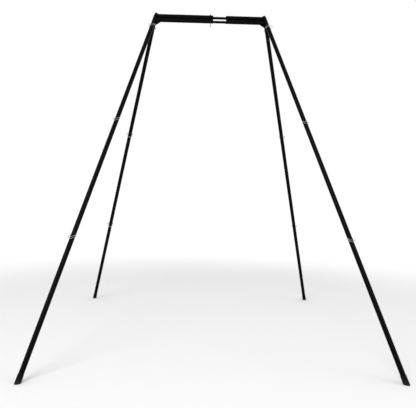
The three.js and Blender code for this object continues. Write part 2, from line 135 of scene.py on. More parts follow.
# Crossbar and its coupler bars
BEAM_PITCH = 2 * TUBE_RADIUS + TOUCH_GAP
BEAM_HALF_HEIGHT = BEAM_PITCH / 2 + TUBE_RADIUS
LEFT_HALF_END = 0.036
RIGHT_HALF_END = 0.203
BAR_RADIUS = 0.015875
BAR_WALL = 0.004
BAR_DROP = BORE_RADIUS - TOUCH_GAP - BAR_RADIUS
BAR_GRIP_LEFT = 0.400
BAR_GRIP_RIGHT = 0.330
BAR_RIVET_INSET = 0.050
BAR_RIVET_PLACE = RIGHT_HALF_END + BAR_RIVET_INSET

# Yokes
APEX_RISE = 0.008
PLATE_THICKNESS = 0.006
PLATE_PROUD = 0.002
PLATE_MARGIN = 0.002
PLATE_CORNER = 0.005
PLATE_EDGE = 0.0006
WEB_MARGIN = 0.005
WEB_TOP = 0.050
GUSSET_REACH = 0.074
GUSSET_DROP = 0.045
TRIM_BLOCK = 12 * TUBE_RADIUS

# Hanging eye bolt, its washer and its nut
BOLT_RADIUS = 0.006
BOLT_HOLE_RADIUS = 0.0064
BOLT_STAND = 0.004
THREAD_PITCH = 0.00175
THREAD_DEPTH = 0.0009
THREAD_START = 0.012
THREAD_ROWS = 10
EYE_RADIUS = 0.018
EYE_RING_RADIUS = 0.0055
EYE_STEPS = 72
EYE_RING_SIDES = 28
COLLAR_RADIUS = 0.011
COLLAR_HEIGHT = 0.006
COLLAR_ROUND = 0.001
COLLAR_EDGE = 0.0006
COLLAR_RIM_SHARE = 0.62
NECK_ROUND = 0.003
NECK_ROOT_SHARE = 0.9
NECK_DROP_SHARE = 0.3
NECK_FLARE_SHARE = 1.25
WASHER_RADIUS = 0.0125
WASHER_THICKNESS = 0.0025
WASHER_BORE_EDGE = 0.0003
WASHER_LOWER_EDGE = 0.0005
WASHER_UPPER_EDGE = 0.0008
WASHER_SEAT = BEAM_HALF_HEIGHT + TOUCH_GAP
NUT_RADIUS = 0.011
NUT_HEIGHT = 0.010
NUT_SIDES = 6
NUT_SEAT = WASHER_SEAT + WASHER_THICKNESS + TOUCH_GAP
NUT_TOP = NUT_SEAT + NUT_HEIGHT
NUT_CHAMFER_ANGLE = math.radians(30)
NUT_CHAMFER_SHARE = 1.2
NUT_FACE_SHARE = 0.96
NUT_ROUND_SHARE = 1.0005
NUT_ROUND_SIDES = 72
NUT_SINK = 0.0008

# Weld beads
BEAD_RADIUS = 0.0024
BEAD_RIPPLE = 0.0030
BEAD_STEP = 0.0006
BEAD_SIDES = 10
BEAD_WAIST_SHARE = 0.86
BEAD_LAG_SHARE = 0.25
BEAD_TAPER_SHARE = 1.5
BEAD_TIP_AREA_SHARE = 0.02
MITRE_BEAD_SINK = 0.0010
WEB_BEAD_STOP = 0.002
SEAM_RADIUS = 0.0014
SEAM_OFFSET = 0.0075
STITCH_LENGTH = 0.045
STITCH_PITCH = 0.160
STITCH_RADIUS = 0.0042
STITCH_OFFSET = 0.0105

# Wear at its worst, from 0 to 1, and how far it reaches
WEAR_DECAY = 3
RIM_WEAR = 0.54
LEG_RIM_REACH = 0.006
HOLE_RIM_REACH = 0.008
BEAM_RIM_REACH = 0.010
SPIGOT_WEAR = 0.40
SPIGOT_WEAR_REACH = 0.050
BAR_WEAR = 0.50
BAR_WEAR_REACH = 0.025
PIN_WEAR = 0.50
PIN_WEAR_REACH = 0.012
LOOP_WEAR = 0.35
LOOP_WEAR_REACH = 0.010
EYE_WEAR = 0.40
EYE_WEAR_REACH = 0.012
FOOT_DUST = 0.45
FOOT_DUST_HEIGHT = 0.012

# Rings of points along a tube, between which its wear fades, from its ends, its hole or its rivet
MOUTH_RING = 0.004
TAIL_RING = 0.010
HOLE_RINGS = (-0.014, -0.007, 0.007, 0.014, 0.050)
RIVET_RINGS = (-0.012, 0.012)
BEAM_RINGS = (0.006, 0.020)
BAR_LEFT_RINGS = (0.001, 0.012, 0.030)
BAR_RIGHT_RINGS = (0.001, 0.012)

# Colours
COAT_DARK = (0.0012, 0.0012, 0.0013)
COAT_PALE = (0.0030, 0.0030, 0.0032)
COAT_SCUFFED = (0.013, 0.013, 0.0135)
BARE_STEEL = (0.24, 0.235, 0.23)
ZINC_BLUISH = (0.38, 0.40, 0.425)
ZINC_STRAW = (0.46, 0.455, 0.42)
ZINC_DULL = (0.28, 0.28, 0.272)
RUBBER_DARK = (0.0034, 0.0034, 0.0034)
RUBBER_PALE = (0.0056, 0.0056, 0.0054)
DUST = (0.060, 0.057, 0.052)
FLOOR_COLOUR = (0.86, 0.86, 0.86)

# Finishes. Streaks and scratches are patterns to the metre along a piece's own three axes.
COAT_SHINE = 0.034
COAT_STREAKS = (900, 900, 26)
SCUFFED_ROUGHNESS = 0.52
STEEL_ROUGHNESS = 0.38
WEAR_RAGGEDNESS = 0.9
ZINC_SCRATCHES = (2600, 2600, 160)
RUBBER_SHINE = 0.08

# Directions
X_AXIS = Vector((1, 0, 0))
Y_AXIS = Vector((0, 1, 0))
Z_AXIS = Vector((0, 0, 1))
ALONG_X = Matrix.Rotation(math.pi / 2, 4, "Y")
ALONG_Y = Matrix.Rotation(-math.pi / 2, 4, "X")

LEGS = ("front_left", "front_right", "back_left", "back_right")
PLACES = ("hub", "upper", "lower")
JOINTS = {joint["name"]: joint for joint in frame["joints"]}


# Frames, from the model's own joints

def basis(right, forward, up, origin):
    """The matrix of a frame with these axes at this origin."""
    turn = Matrix((right, forward, up)).transposed().to_4x4()
    return Matrix.Translation(origin) @ turn


def pin_frame(place, leg):
    """Origin on the leg's axis, X along the pin to its tip, Y to the top of its loop's arch."""
    swing = JOINTS[f"{place}_loop_swing_{leg}"]
    along = -Vector(JOINTS[f"{place}_pin_pull_{leg}"]["axis"]).normalized()
    rise = Vector(swing["axis"]).cross(along).normalized()
    origin = Vector(swing["pos_m"]) + along * (TUBE_RADIUS + PIVOT_OFFSET)
    return basis(along, rise, along.cross(rise), origin)


def leg_frame(leg):
    """Origin where a side's two leg axes meet, Z down the leg and X out, square to it."""
    hub = pin_frame("hub", leg).translation
    down = (pin_frame("lower", leg).translation - hub).normalized()
    across = Vector((math.copysign(1, hub.x), 0, 0))
    across = (across - down * across.dot(down)).normalized()
    return basis(across, down.cross(across), down, hub - down * (STUB_LENGTH + PIN_INSET))


def pin_turn(leg):
    """The angle about a leg's axis from straight out to the direction of its pins."""
    along = pin_frame("upper", leg).to_3x3() @ X_AXIS
    local = LEG_FRAMES[leg].to_3x3().transposed() @ along
    return math.atan2(local.y, local.x)


def leg_axis(leg):
    """The direction down a leg."""
    return LEG_FRAMES[leg].to_3x3() @ Z_AXIS


def apex(side):
    """The matrix that moves the origin to the point where a side's two leg axes meet."""
    return Matrix.Translation((side * APEX_HALF_SPAN, 0, APEX_HEIGHT))


LEG_FRAMES = {leg: leg_frame(leg) for leg in LEGS}
APEX_HEIGHT = sum(LEG_FRAMES[leg].translation.z for leg in LEGS) / len(LEGS)
APEX_HALF_SPAN = sum(abs(LEG_FRAMES[leg].translation.x) for leg in LEGS) / len(LEGS)
BEAM_MIDDLE = Matrix.Translation((0, 0, APEX_HEIGHT - APEX_RISE))
PIN_PIVOT = Matrix.Translation((-TUBE_RADIUS - PIVOT_OFFSET, 0, 0))
DOWN = leg_axis("back_right")
LEAN = Vector((DOWN.x, 0, DOWN.z)).normalized()  # down the right-hand plane of two leg axes
SPLAY = DOWN.y / math.hypot(DOWN.x, DOWN.z)
SLANT = math.hypot(DOWN.x, DOWN.y)
WEB_BOTTOM = STUB_LENGTH * math.hypot(DOWN.x, DOWN.z) - WEB_MARGIN
TUBE_END = (APEX_HEIGHT - FOOT_SOLE - TUBE_RADIUS * SLANT) / -DOWN.z


# Outlines in a plane

def circle(count):
    """This many angles, evenly round a circle."""
    return [2 * math.pi * step / count for step in range(count)]


def rectangle(left, right, start, end):
    return [(left, start), (right, start), (right, end), (left, end)]


def rounded(points, radii, steps=3):
    """A closed outline whose corners are arcs of these radii, one for each point."""
    result = []
    for index, point in enumerate(points):
        corner = Vector(point)
        radius = radii[index]
        if radius == 0:
            result.append(corner)
            continue
        before = (Vector(points[index - 1]) - corner).normalized()
        after = (Vector(points[(index + 1) % len(points)]) - corner).normalized()
        half = before.angle(after) / 2
        middle = corner + (before + after).normalized() * (radius / math.sin(half))
        start = corner + before * (radius / math.tan(half)) - middle
        end = corner + after * (radius / math.tan(half)) - middle
        first = math.atan2(start.y, start.x)
        turn = math.remainder(math.atan2(end.y, end.x) - first, 2 * math.pi)
        for step in range(steps + 1):
            angle = first + turn * step / steps
            result.append(middle + Vector((math.cos(angle), math.sin(angle))) * radius)
    return result


# Meshes

def skinned(bm, rings, closed=False, capped=False):
    """The mesh with faces from each ring of points to the next, all turned to face outwards."""
    pairs = list(zip(rings, rings[1:]))
    if closed:
        pairs.append((rings[-1], rings[0]))
    for lower, upper in pairs:
        for side in range(len(lower)):
            after = (side + 1) % len(lower)
            corners = list(dict.fromkeys((lower[side], lower[after], upper[after], upper[side])))
            if len(corners) > 2:
                bm.faces.new(corners)
    if capped:
        bm.faces.new(rings[0])
        bm.faces.new(rings[-1])
    bmesh.ops.recalc_face_normals(bm, faces=bm.faces)
    return bm


def lathe(profile, sides=ROUND_SIDES, closed=False):
    """A solid turned about Z from (radius, height) points. A closed profile makes a ring or tube."""
    bm = bmesh.new()
    angles = circle(sides)
    rings = []
    for radius, height in profile:
        if radius < ON_AXIS:
            rings.append([bm.verts.new((0, 0, height))] * sides)
            continue
        rings.append([bm.verts.new((radius * math.cos(a), radius * math.sin(a), height)) for a in angles])
    return skinned(bm, rings, closed)


def tube(radius, bore, start, end, marks=(), lead=0.0):
    """A tube along Z with softened ends. Marks are places that get a ring of their own outside."""
    outer = [(radius, place) for place in sorted(marks)]
    soft = min(END_ROUND, (radius - bore) / 3)
    points = [(bore, start), (radius, start), *outer]
    radii = [soft / 2, soft, *[0] * len(outer)]
    if lead:
        points += [(radius, end - lead), (radius - lead / 3, end)]
        radii += [0, soft]
    else:
        points.append((radius, end))
        radii.append(soft)
    points.append((bore, end))
    radii.append(soft / 2)
    return lathe(rounded(points, radii), closed=True)


def rod(radius, start, end, sides=ROUND_SIDES):
    """A plain round bar along Z."""
    return lathe([(0, start), (radius, start), (radius, end), (0, end)], sides)


def cross_hole(radius, sides, turn):
    """A cutter square to a tube's axis that runs past both of its walls."""
    reach = TUBE_RADIUS + OVERRUN
    return turned(rod(radius, -reach, reach, sides), turn)


def sweep(points, radii, sides, outs=None, closed=False, lag=0.0):
    """A round bar along points. Outs are the ways that its rings face, and lag bends the rings back."""
    bm = bmesh.new()
    rings = []
    count = len(points)
    normal = None
    for index, point in enumerate(points):
        before = points[index - 1] if index or closed else point
        after = points[(index + 1) % count] if index + 1 < count or closed else point
        tangent = (after - before).normalized()
        if outs:
            normal = outs[index]
        elif normal is None:
            normal = tangent.orthogonal()
        normal = (normal - tangent * normal.dot(tangent)).normalized()
        side = tangent.cross(normal)
        ring = []
        for angle in circle(sides):
            spoke = normal * math.cos(angle) + side * math.sin(angle)
            shift = tangent * (lag * (1 - math.cos(angle)))
            ring.append(bm.verts.new(point + spoke * radii[index] - shift))
        rings.append(ring)
    return skinned(bm, rings, closed, capped=not closed)


def plate(outline, radii, thickness, right, up, origin):
    """A flat plate with rounded corners and softened edges, in the plane of two directions."""
    bm = bmesh.new()
    corners = rounded(outline, radii, steps=5)
    low = [bm.verts.new((corner.x, corner.y, -thickness / 2)) for corner in corners]
    high = [bm.verts.new((corner.x, corner.y, thickness / 2)) for corner in corners]
    bm.faces.new(low)
    bm.faces.new(high)
    for index in range(len(corners)):
        after = (index + 1) % len(corners)
        bm.faces.new((low[index], low[after], high[after], high[index]))
    rims = [e for e in bm.edges if abs(e.verts[0].co.z - e.verts[1].co.z) < thickness / 2]
    bmesh.ops.bevel(bm, geom=rims, offset=PLATE_EDGE, segments=2, profile=0.5, affect="EDGES")
    bmesh.ops.recalc_face_normals(bm, faces=bm.faces)
    return turned(bm, basis(right, up, right.cross(up), origin))


def turned(bm, matrix):
    """The mesh moved by a matrix."""
    bmesh.ops.transform(bm, matrix=matrix, verts=bm.verts)
    if matrix.determinant() < 0:
        bmesh.ops.reverse_faces(bm, faces=bm.faces)
    return bm


def trimmed(bm, normal):
    """Keeps the part of a mesh behind a plane through the origin, and gives the cut's edges."""
    everything = [*bm.verts, *bm.edges, *bm.faces]
    parts = bmesh.ops.bisect_plane(bm, geom=everything, plane_no=normal, clear_outer=True)
    return [part for part in parts["geom_cut"] if isinstance(part, bmesh.types.BMEdge)]


def mesh_from(name, bm):
    """A stored mesh made from a working one, which is freed."""
    mesh = bpy.data.meshes.new(name)
    bm.to_mesh(mesh)
    bm.free()
    return mesh


def placed(name, data):
    """A new object in the scene."""
    made = bpy.data.objects.new(name, data)
    bpy.context.scene.collection.objects.link(made)
    return made


def together(*meshes):
    """One mesh that holds several, as separate shells."""
    whole = bmesh.new()
    for bm in meshes:
        mesh = mesh_from("part", bm)
        whole.from_mesh(mesh)
        bpy.data.meshes.remove(mesh)
    return whole


def combine(first, others, operation):
    """Joins or cuts a mesh with others: UNION, DIFFERENCE or INTERSECT."""
    holders = [placed("part", mesh_from("part", bm)) for bm in (first, *others)]
    for other in holders[1:]:
        modifier = holders[0].modifiers.new("join", "BOOLEAN")
        modifier.operation = operation
        modifier.solver = "EXACT"
        modifier.object = other
    bpy.context.view_layer.update()
    result = bmesh.new()
    result.from_object(holders[0], bpy.context.evaluated_depsgraph_get())
    for holder in holders:
        mesh = holder.data
        bpy.data.objects.remove(holder)
        bpy.data.meshes.remove(mesh)
    return result


def cut(bm, *others):
    return combine(bm, others, "DIFFERENCE")


def joined(bm, *others):
    return combine(bm, others, "UNION")


def mirrored_pair(bm):
    """The part of a mesh in front of the middle plane, with its mirror image joined on behind."""
    trimmed(bm, Y_AXIS)
    for vert in bm.verts:
        if abs(vert.co.y) < MERGE_DISTANCE:
            vert.co.y = 0
    other = turned(bm.copy(), Matrix.Scale(-1, 4, Y_AXIS))
    pair = together(bm, other)
    bmesh.ops.remove_doubles(pair, verts=pair.verts, dist=MERGE_DISTANCE)
    bmesh.ops.recalc_face_normals(pair, faces=pair.faces)
    return pair


# Materials

class NodeTree:
    """The nodes of a material or of the world, added one step at a time."""

    def __init__(self, owner):
        owner.use_nodes = True
        self.nodes = owner.node_tree.nodes
        self.links = owner.node_tree.links

    def new(self, kind, **inputs):
        """A node with constants or other nodes' outputs on its named inputs."""
        node = self.nodes.new(f"ShaderNode{kind}")
        for name, value in inputs.items():
            self.feed(node.inputs[name.replace("_", " ").title()], value)
        return node

    def feed(self, socket, value):
        if isinstance(value, bpy.types.NodeSocket):
            self.links.new(value, socket)
        else:
            socket.default_value = value

    def ramp(self, value, from_min, from_max, to_min=0, to_max=1):
        """A value taken from one range to another, and held at its ends."""
        node = self.new("MapRange", value=value, from_min=from_min, from_max=from_max,
                        to_min=to_min, to_max=to_max)
        return node.outputs["Result"]

    def noise(self, vector, scale, detail=2.0, roughness=0.5):
        node = self.new("TexNoise", vector=vector, scale=scale, detail=detail, roughness=roughness)
        return node.outputs["Fac"]

    def stretched(self, vector, scale):
        return self.new("Mapping", vector=vector, scale=scale).outputs["Vector"]

    def blended(self, share, low, high):
        """A colour or number mixed between two, which are colours, numbers or other outputs."""
        node = self.new("Mix")
        is_colour = isinstance(low, tuple) or isinstance(high, tuple)
        node.data_type = "RGBA" if is_colour else "FLOAT"
        sockets = [socket for socket in node.inputs if socket.enabled]
        for socket, value in zip(sockets, (share, low, high)):
            self.feed(socket, (*value, 1) if isinstance(value, tuple) else value)
        return [socket for socket in node.outputs if socket.enabled][0]

    def calculated(self, operation, first, second):
        node = self.new("Math")
        node.operation = operation
        self.feed(node.inputs[0], first)
        self.feed(node.inputs[1], second)
        return node.outputs["Value"]

    def bumped(self, height, strength, distance, before=None):
        node = self.new("Bump", height=height, strength=strength, distance=distance)
        if before:
            self.feed(node.inputs["Normal"], before)
        return node.outputs["Normal"]


class Finish(NodeTree):
    """A material to build on, with its shader and the place of each point in object space."""

    def __init__(self, name):
        self.material = bpy.data.materials.new(name)
        super().__init__(self.material)
        self.shader = self.nodes["Principled BSDF"]
        self.place = self.new("TexCoord").outputs["Object"]

    def attribute(self, name, output):
        """What a piece holds under this name at each point."""
        node = self.new("Attribute")
        node.attribute_name = name
        return node.outputs[output]

    def give(self, input_name, value):
        """Sets one input of the shader."""
        self.feed(self.shader.inputs[input_name], value)


def powder_coat():
    """Satin black powder coat: fine orange peel, faint cloudiness, rubbed to steel where worn."""
    coat = Finish("black_powder_coat")
    own_place = coat.attribute("own_place", "Vector")
    wear = coat.attribute("wear", "Fac")
    cloud = coat.noise(coat.place, scale=22, detail=3)
    streak = coat.noise(coat.stretched(own_place, COAT_STREAKS), scale=1, detail=3, roughness=0.6)
    grain = coat.noise(coat.place, scale=1500, detail=3, roughness=0.6)
    peel = coat.noise(coat.place, scale=520)
    scuff = coat.ramp(streak, from_min=0.66, from_max=0.76)
    ragged_wear = coat.calculated("ADD", wear, coat.calculated("MULTIPLY", grain, WEAR_RAGGEDNESS))
    bare = coat.ramp(ragged_wear, from_min=0.92, from_max=1.06)
    paint = coat.blended(coat.ramp(cloud, from_min=0.3, from_max=0.7), COAT_DARK, COAT_PALE)
    paint = coat.blended(scuff, paint, COAT_SCUFFED)
    coat.give("Base Color", coat.blended(bare, paint, BARE_STEEL))
    coat.give("Metallic", coat.ramp(bare, from_min=0, from_max=1, to_max=0.9))
    roughness = coat.ramp(cloud, from_min=0.3, from_max=0.7, to_min=0.24, to_max=0.36)
    roughness = coat.blended(scuff, roughness, SCUFFED_ROUGHNESS)
    coat.give("Roughness", coat.blended(bare, roughness, STEEL_ROUGHNESS))
    coat.give("Specular IOR Level", COAT_SHINE)
    relief = coat.bumped(peel, strength=0.45, distance=0.0004)
    coat.give("Normal", coat.bumped(grain, strength=0.15, distance=0.0001, before=relief))
    return coat.material


def zinc():
    """Zinc plate: a faint bluish and straw tint, drawn scratches and dull patches."""
    plating = Finish("zinc_plate")
    own_place = plating.attribute("own_place", "Vector")
    wear = plating.attribute("wear", "Fac")
    tint = plating.noise(plating.place, scale=140, detail=3)
    patch = plating.noise(plating.place, scale=420, detail=4, roughness=0.6)
    scratch = plating.noise(plating.stretched(own_place, ZINC_SCRATCHES), scale=1)
    dull = plating.ramp(plating.calculated("ADD", patch, wear), from_min=0.62, from_max=0.95)
    colour = plating.blended(plating.ramp(tint, from_min=0.35, from_max=0.65), ZINC_BLUISH, ZINC_STRAW)
    plating.give("Base Color", plating.blended(dull, colour, ZINC_DULL))
    plating.give("Metallic", 1)
    uneven = plating.calculated("ADD", patch, dull)
    plating.give("Roughness", plating.ramp(uneven, from_min=0.3, from_max=1.6, to_min=0.20, to_max=0.55))
    plating.give("Normal", plating.bumped(scratch, strength=0.12, distance=0.0001))
    return plating.material


def rubber():
    """Matt black moulded rubber, greyed with floor dust where its wear value rises to the sole."""
    moulded = Finish("black_rubber")
    wear = moulded.attribute("wear", "Fac")
    cloud = moulded.noise(moulded.place, scale=130, detail=4)
    grain = moulded.noise(moulded.place, scale=1300, detail=3, roughness=0.6)
    base = moulded.blended(moulded.ramp(cloud, from_min=0.3, from_max=0.7), RUBBER_DARK, RUBBER_PALE)
    patches = moulded.ramp(cloud, from_min=0.3, from_max=0.7, to_min=0.45)
    dust = moulded.calculated("MULTIPLY", wear, patches)
    moulded.give("Base Color", moulded.blended(dust, base, DUST))
    moulded.give("Roughness", moulded.ramp(grain, from_min=0.3, from_max=0.7, to_min=0.72, to_max=0.90))
    moulded.give("Specular IOR Level", RUBBER_SHINE)
    moulded.give("Normal", moulded.bumped(grain, strength=0.35, distance=0.0003))
    return moulded.material


MATERIALS = {"black_powder_coat": powder_coat(), "zinc_plate": zinc(), "black_rubber": rubber()}


# Pieces

def no_wear(point):
    return 0.0


def fading(most, distance, reach):
    """Falls from its most at no distance to nearly 0 at the reach."""
    return most * math.exp(-WEAR_DECAY * max(distance, 0) / reach)


def piece(name, bm, matrix, slot, wear=no_wear, body="frame", crease=34, nodes=()):
    """Finishes a mesh as a piece of the rig: its shading, wear, place, body, slot and nodes."""
    mesh = mesh_from(name, bm)
    own = mesh.attributes.new("own_place", "FLOAT_VECTOR", "POINT")
    worn = mesh.attributes.new("wear", "FLOAT", "POINT")
    for vert in mesh.vertices:
        own.data[vert.index].vector = vert.co
        worn.data[vert.index].value = wear(vert.co)
    mesh.transform(matrix)
    mesh.shade_smooth()
    mesh.set_sharp_from_angle(angle=math.radians(crease))
    mesh.materials.append(MATERIALS[slot])
    made = placed(name, mesh)
    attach(made, body)
    if nodes:
        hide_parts(*nodes)


def finer(node, bm, matrix, slot, wear=no_wear, body="frame", crease=34):
    """A finer piece in place of one of the model's nodes."""
    piece(f"{node}_fine", bm, matrix, slot, wear, body, crease, [node])


# Leg tubes, spigots and feet

def pin_hole(place, leg):
    hole = cross_hole(PIN_RADIUS + PIN_FIT, PIN_HOLE_SIDES, ALONG_X)
    return turned(hole, Matrix.Translation((0, 0, place)) @ Matrix.Rotation(pin_turn(leg), 4, "Z"))


def rivet_hole(place):
    hole = cross_hole(RIVET_RADIUS + PIN_FIT, RIVET_SIDES, ALONG_Y)
    return turned(hole, Matrix.Translation((0, 0, place)))


def rivet():
    """A rivet along Y with domed heads and the dimples of its pulled stem."""
    seat = TUBE_RADIUS + TOUCH_GAP
    top = seat + RIVET_HEAD_HEIGHT
    dome = RIVET_HEAD_HEIGHT * RIVET_DOME_SHARE
    half = [
        (0, top - dome),
        (RIVET_STEM_RADIUS, top - dome),
        (RIVET_STEM_RADIUS, top),
        *[(RIVET_HEAD_RADIUS * out, top - dome * drop) for out, drop in RIVET_DOME_SHARES],
        (RIVET_HEAD_RADIUS, seat),
        (RIVET_RADIUS, seat),
    ]
    profile = half + [(radius, -height) for radius, height in reversed(half)]
    return turned(lathe(profile, RIVET_SIDES), ALONG_Y)


def leg_tube(leg, level, start, end, has_spigot_below):
    """One of a leg's three tubes, with a pin's hole near its top."""
    hole = start - TOUCH_GAP + PIN_INSET
    rivet_place = end - RIVET_INSET
    turn = pin_turn(leg)
    marks = [start + MOUTH_RING, end - TAIL_RING, *[hole + ring for ring in HOLE_RINGS]]
    cutters = [pin_hole(hole, leg)]
    if has_spigot_below:
        marks += [rivet_place + ring for ring in RIVET_RINGS]
        cutters.append(rivet_hole(rivet_place))
    bm = cut(tube(TUBE_RADIUS, BORE_RADIUS, start, end, marks), *cutters)

    def wear(point):
        from_end = min(point.z - start, end - point.z)
        aside = point.y * math.cos(turn) - point.x * math.sin(turn)
        from_hole = math.hypot(aside, point.z - hole) - PIN_RADIUS
        return max(fading(RIM_WEAR, from_end, LEG_RIM_REACH), fading(RIM_WEAR, from_hole, HOLE_RIM_REACH))

    finer(f"{level}_leg_tube_{leg}", bm, LEG_FRAMES[leg], "black_powder_coat", wear)


def sleeve(start, end):
    """A spigot's sleeve, its lower end tapered to lead it into the tube below."""
    return tube(SPIGOT_RADIUS, SPIGOT_BORE, start, end, lead=SPIGOT_LEAD)


def spigot(leg, level, joint):
    """The sleeve inside a joint between two leg tubes, with the rivet that holds it."""
    end = joint + SPIGOT_REACH
    bm = cut(sleeve(joint - SPIGOT_REACH, end), pin_hole(joint + PIN_INSET, leg))
    bm = together(bm, turned(rivet(), Matrix.Translation((0, 0, joint - RIVET_INSET))))

    def wear(point):
        return fading(SPIGOT_WEAR, end - point.z, SPIGOT_WEAR_REACH)

    finer(f"{level}_spigot_{leg}", bm, LEG_FRAMES[leg], "black_powder_coat", wear)


def foot_blank():
    """A ribbed cap along the leg's axis that runs on through the floor."""
    top = TUBE_END - FOOT_GRIP
    below = TUBE_END + BLANK_OVERRUN
    pocket = TUBE_RADIUS + TOUCH_GAP
    pocket_end = TUBE_END + TOUCH_GAP
    outline = [(pocket, top), (FOOT_RADIUS, top)]
    radii = [FOOT_LIP_ROUND, FOOT_ROUND]
    for rib in range(FOOT_RIBS):
        start = top + FOOT_RIB_PITCH * (rib + 1)
        outline += [
            (FOOT_RADIUS, start),
            (FOOT_RADIUS - FOOT_RIB_DEPTH, start + FOOT_RIB_DEPTH),
            (FOOT_RADIUS - FOOT_RIB_DEPTH, start + FOOT_GROOVE_WIDTH),
            (FOOT_RADIUS, start + FOOT_GROOVE_WIDTH + FOOT_RIB_DEPTH),
        ]
        radii += [FOOT_RIB_ROUND] * 4
    outline += [(FOOT_RADIUS, below), (0, below), (0, pocket_end), (pocket, pocket_end)]
    radii += [0, 0, 0, FOOT_POCKET_ROUND]
    return lathe(rounded(outline, radii), closed=True)


def tread_cutter(radius, middle):
    """A ring that cuts a tread into the sole from below."""
    ring = rectangle(radius - TREAD_WIDTH / 2, radius + TREAD_WIDTH / 2, -OVERRUN, TREAD_DEPTH)
    return turned(lathe(ring, SMALL_SIDES, closed=True), Matrix.Translation(middle))


def foot(leg):
    """A ribbed rubber cap whose sole lies level on the floor, with ring treads in it."""
    matrix = LEG_FRAMES[leg]
    bm = turned(foot_blank(), matrix)
    rim = trimmed(bm, -Z_AXIS)
    sole = bmesh.ops.contextual_create(bm, geom=rim)["faces"]
    bmesh.ops.bevel(bm, geom=sole[0].edges, offset=FOOT_ROUND, segments=3, profile=0.5, affect="EDGES")
    bmesh.ops.recalc_face_normals(bm, faces=bm.faces)
    axis = leg_axis(leg)
    middle = matrix.translation - axis * (matrix.translation.z / axis.z)
    bm = cut(bm, *[tread_cutter(radius, middle) for radius in TREAD_RADII])

    def wear(point):
        return fading(FOOT_DUST, point.z, FOOT_DUST_HEIGHT)

    finer(f"rubber_foot_{leg}", bm, Matrix.Identity(4), "black_rubber", wear)


def whole_leg(leg):
    leg_tube(leg, "upper", FIRST_JOINT + TOUCH_GAP, SECOND_JOINT, True)
    leg_tube(leg, "middle", SECOND_JOINT + TOUCH_GAP, THIRD_JOINT, True)
    leg_tube(leg, "lower", THIRD_JOINT + TOUCH_GAP, TUBE_END, False)
    spigot(leg, "upper", SECOND_JOINT)
    spigot(leg, "lower", THIRD_JOINT)
    foot(leg)


# Wire lock pins

def lock_pin(place, leg):
    """A turned pin along X: a chamfered head with the loop's hole, a shank and a rounded nose."""
    face = -TUBE_RADIUS - HEAD_GAP
    back = face - HEAD_LENGTH
    tip = TUBE_RADIUS + PIN_TIP
    ring_start, ring_top = [HEAD_RADIUS * share for share in HEAD_RING_SHARES]
    outline = [
        (0, back),
        (ring_start, back),
        (ring_top, back - HEAD_RING_HEIGHT),
        (HEAD_RADIUS, back),
        (HEAD_RADIUS, face),
        (PIN_RADIUS, face),
        (PIN_RADIUS, tip - PIN_POINT),
        (PIN_RADIUS / 2, tip),
        (0, tip),
    ]
    radii = [0, 0, 0, HEAD_ROUND, HEAD_ROUND, 0, HEAD_ROUND, HEAD_ROUND, 0]
    solid = turned(lathe(rounded(outline, radii), SMALL_SIDES), ALONG_X)
    reach = HEAD_RADIUS + OVERRUN
    hole = turned(rod(AXLE_RADIUS, -reach, reach, AXLE_SIDES), PIN_PIVOT)

    def wear(point):
        return fading(PIN_WEAR, tip - point.x, PIN_WEAR_REACH)

    node = f"{place}_lock_pin_{leg}"
    finer(node, cut(solid, hole), pin_frame(place, leg), "zinc_plate", wear, node)


def loop_points():
    """The wire's centre line from one end to the other, in the pin's frame moved to the pivot."""
    inner = HEAD_RADIUS - LOOP_AXLE_DEPTH
    half = [Vector((0, 0, -inner)), Vector((0, 0, -(LOOP_HALF_WIDTH + inner - LOOP_CORNER) / 2))]
    for step in range(LOOP_CORNER_STEPS + 1):
        angle = math.pi / 2 * step / LOOP_CORNER_STEPS
        out = LOOP_HALF_WIDTH - LOOP_CORNER + LOOP_CORNER * math.sin(angle)
        half.append(Vector((0, LOOP_CORNER * (1 - math.cos(angle)), -out)))
    for step in range(1, LOOP_ARCH_STEPS + 1):
        share = step / LOOP_ARCH_STEPS
        along = LOOP_SPAN / 2 * (1 - math.cos(math.pi * share))
        rise = (LOOP_HEIGHT - LOOP_CORNER / 2) * math.sin(math.pi * share)
        half.append(Vector((along, LOOP_CORNER * (1 - share) + rise, -LOOP_HALF_WIDTH)))
    turn = []
    for step in range(1, LOOP_TURN_STEPS):
        angle = math.pi * step / LOOP_TURN_STEPS
        dip = -LOOP_HALF_WIDTH * math.sin(angle)
        turn.append(Vector((LOOP_SPAN, dip, -LOOP_HALF_WIDTH * math.cos(angle))))
    other = [Vector((point.x, point.y, -point.z)) for point in reversed(half)]
    return half + turn + other


def wire_loop(place, leg):
    """A pin's sprung loop, from its head over the tube to its tip."""
    points = loop_points()
    bm = sweep(points, [WIRE_RADIUS] * len(points), WIRE_SIDES)
    matrix = pin_frame(place, leg) @ PIN_PIVOT

    def wear(point):
        return fading(LOOP_WEAR, LOOP_SPAN - point.x, LOOP_WEAR_REACH)

    node = f"{place}_wire_loop_{leg}"
    finer(node, bm, matrix, "zinc_plate", wear, node, crease=50)


# Yokes

def leaning(side):
    """Down the plane of a side's two leg axes, and square to that plane towards the crossbar."""
    down = Vector((side * LEAN.x, 0, LEAN.z))
    return down, Vector((side * LEAN.z, 0, -LEAN.x))


def end_plate(side):
    """The plate between the stubs and the crossbar's tubes."""
    down, inwards = leaning(side)
    away = TUBE_RADIUS + PLATE_PROUD - PLATE_THICKNESS / 2
    half = TUBE_RADIUS + PLATE_MARGIN

    def down_to(height):
        """How far down the plate's middle plane a height lies."""
        return (-height - LEAN.x * away) / -LEAN.z

    top = down_to(-APEX_RISE + BEAM_HALF_HEIGHT + PLATE_MARGIN)
    bottom = down_to(-APEX_RISE - BEAM_HALF_HEIGHT - PLATE_MARGIN)
    outline = rectangle(-half, half, top, bottom)
    return plate(outline, [PLATE_CORNER] * 4, PLATE_THICKNESS, Y_AXIS, down, inwards * away)


